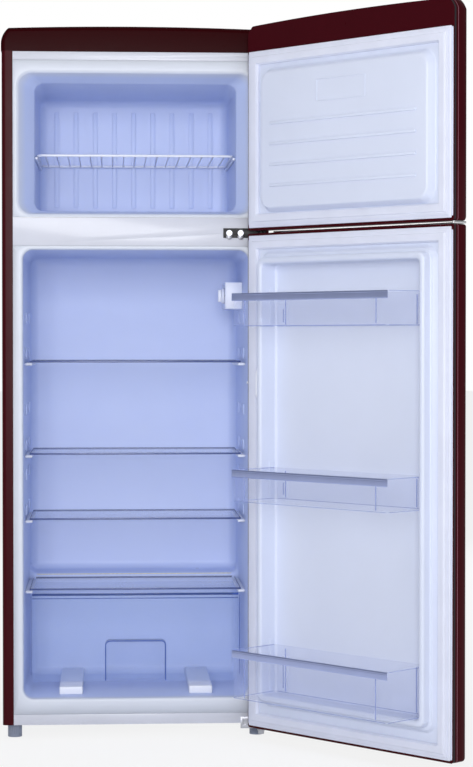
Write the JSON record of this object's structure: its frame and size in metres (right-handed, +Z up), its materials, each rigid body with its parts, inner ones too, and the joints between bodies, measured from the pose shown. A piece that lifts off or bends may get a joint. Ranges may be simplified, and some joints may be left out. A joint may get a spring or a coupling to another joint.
{
  "type": "refrigerator",
  "caption": "Top freezer refrigerator in a rounded painted cabinet, with doors hinged on the right, glass shelves, a drawer and door bins.",
  "frame": {"origin": "on the floor, midway between the four feet", "axes": "+Z up, +Y towards the back, +X towards the hinge side"},
  "size_m": [0.8768, 0.9748, 1.44],
  "materials": {
    "burgundy_paint": "gloss enamel",
    "cap_paint": "gloss enamel",
    "rail_enamel": "satin enamel",
    "liner_plastic": "satin moulded sheet",
    "door_liner_plastic": "satin moulded sheet",
    "insulation": "rigid foam",
    "zinc_steel": "zinc plated",
    "black_enamel": "satin enamel",
    "black_plastic": "moulded",
    "grey_plastic": "moulded",
    "copper": "drawn copper",
    "aluminium_sheet": "rolled",
    "foot_plastic": "moulded, ribbed",
    "hinge_steel": "plated",
    "bright_screw": "polished",
    "white_plastic": "moulded",
    "shelf_glass": "clear, ground edges",
    "drawer_plastic": "clear tinted",
    "bin_plastic": "clear tinted",
    "chrome": "polished",
    "grey_rail": "satin anodised",
    "gasket_rubber": "soft extrusion",
    "bush_plastic": "moulded",
    "grommet_rubber": "moulded",
    "bulb_glass": "frosted"
  },
  "bodies": {
    "cabinet": {"outer_shell": "burgundy_paint", "top_cap": "cap_paint", "back_panel": "black_enamel", "front_rails": "rail_enamel", "freezer_liner": "liner_plastic", "fridge_liner": "liner_plastic", "cabinet_foam": "insulation", "base_pan": "zinc_steel", "compressor": "black_enamel", "compressor_grommets": "grommet_rubber", "start_relay": "black_plastic", "evaporation_tray": "grey_plastic", "drain_tube": "grey_plastic", "filter_drier": "copper", "suction_line": "copper", "condenser": "black_enamel", "condenser_brackets": "black_plastic", "freezer_evaporator": "aluminium_sheet", "fridge_evaporator": "aluminium_sheet", "cord_gland": "grommet_rubber", "rear_feet": "black_plastic", "top_hinge": "hinge_steel", "middle_hinge": "black_enamel", "bottom_hinge": "hinge_steel", "hinge_screws": "bright_screw", "thermostat_housing": "white_plastic", "thermostat_control": "zinc_steel", "lamp_bulb": "bulb_glass", "lamp_switch": "white_plastic", "shelf_supports": "liner_plastic"},
    "freezer_door": {"freezer_door_skin": "burgundy_paint", "freezer_door_liner": "door_liner_plastic", "freezer_door_foam": "insulation", "freezer_door_gasket": "gasket_rubber", "freezer_door_bushes": "bush_plastic", "freezer_door_trim": "chrome", "freezer_door_handle": "chrome"},
    "fridge_door": {"fridge_door_skin": "burgundy_paint", "fridge_door_liner": "door_liner_plastic", "fridge_door_foam": "insulation", "fridge_door_gasket": "gasket_rubber", "fridge_door_bushes": "bush_plastic", "fridge_door_handle": "chrome", "switch_striker": "white_plastic"},
    "front_left_foot": {"front_left_foot": "foot_plastic"},
    "front_right_foot": {"front_right_foot": "foot_plastic"},
    "thermostat_knob": {"thermostat_knob": "white_plastic"},
    "lamp_switch_plunger": {"lamp_switch_plunger": "white_plastic"},
    "glass_shelf_top": {"glass_shelf_top": "shelf_glass"},
    "glass_shelf_middle": {"glass_shelf_middle": "shelf_glass"},
    "glass_shelf_bottom": {"glass_shelf_bottom": "shelf_glass"},
    "crisper_cover": {"crisper_cover": "shelf_glass"},
    "freezer_shelf": {"freezer_shelf": "white_plastic"},
    "crisper_drawer": {"crisper_drawer": "drawer_plastic"},
    "door_bin_top": {"door_bin_top": "bin_plastic", "bin_rail_top": "grey_rail"},
    "door_bin_middle": {"door_bin_middle": "bin_plastic", "bin_rail_middle": "grey_rail"},
    "door_bin_bottom": {"door_bin_bottom": "bin_plastic", "bin_rail_bottom": "grey_rail"}
  },
  "joints": [
    {"name": "freezer_door_hinge", "type": "hinge", "parent": "cabinet", "child": "freezer_door", "pos_m": [0.252, -0.28, 1.2], "axis": [0, 0, 1], "range_deg": [-131, 0]},
    {"name": "fridge_door_hinge", "type": "hinge", "parent": "cabinet", "child": "fridge_door", "pos_m": [0.252, -0.28, 0.5], "axis": [0, 0, 1], "range_deg": [-131, 0]},
    {"name": "front_left_foot_turn", "type": "hinge", "parent": "cabinet", "child": "front_left_foot", "pos_m": [-0.2465, -0.22, 0], "axis": [0, 0, 1], "range_deg": [-180, 180]},
    {"name": "front_right_foot_turn", "type": "hinge", "parent": "cabinet", "child": "front_right_foot", "pos_m": [0.2465, -0.22, 0], "axis": [0, 0, 1], "range_deg": [-180, 180]},
    {"name": "thermostat_knob_turn", "type": "hinge", "parent": "cabinet", "child": "thermostat_knob", "pos_m": [0.19, 0, 0.901], "axis": [-1, 0, 0], "range_deg": [-135, 135]},
    {"name": "lamp_switch_press", "type": "slide", "parent": "cabinet", "child": "lamp_switch_plunger", "axis": [1, 0, 0], "range_m": [0, 0.002], "stiffness_N_per_m": 100},
    {"name": "glass_shelf_top_slide", "type": "slide", "parent": "cabinet", "child": "glass_shelf_top", "axis": [0, -1, 0], "range_m": [0, 0.2]},
    {"name": "glass_shelf_middle_slide", "type": "slide", "parent": "cabinet", "child": "glass_shelf_middle", "axis": [0, -1, 0], "range_m": [0, 0.2]},
    {"name": "glass_shelf_bottom_slide", "type": "slide", "parent": "cabinet", "child": "glass_shelf_bottom", "axis": [0, -1, 0], "range_m": [0, 0.2]},
    {"name": "crisper_cover_slide", "type": "slide", "parent": "cabinet", "child": "crisper_cover", "axis": [0, -1, 0], "range_m": [0, 0.2]},
    {"name": "freezer_shelf_slide", "type": "slide", "parent": "cabinet", "child": "freezer_shelf", "axis": [0, -1, 0], "range_m": [0, 0.2]},
    {"name": "crisper_drawer_slide", "type": "slide", "parent": "cabinet", "child": "crisper_drawer", "axis": [0, -1, 0], "range_m": [0, 0.2]},
    {"name": "door_bin_top_lift", "type": "slide", "parent": "fridge_door", "child": "door_bin_top", "axis": [0, 0, 1], "range_m": [0, 0.02]},
    {"name": "door_bin_middle_lift", "type": "slide", "parent": "fridge_door", "child": "door_bin_middle", "axis": [0, 0, 1], "range_m": [0, 0.02]},
    {"name": "door_bin_bottom_lift", "type": "slide", "parent": "fridge_door", "child": "door_bin_bottom", "axis": [0, 0, 1], "range_m": [0, 0.02]}
  ]
}
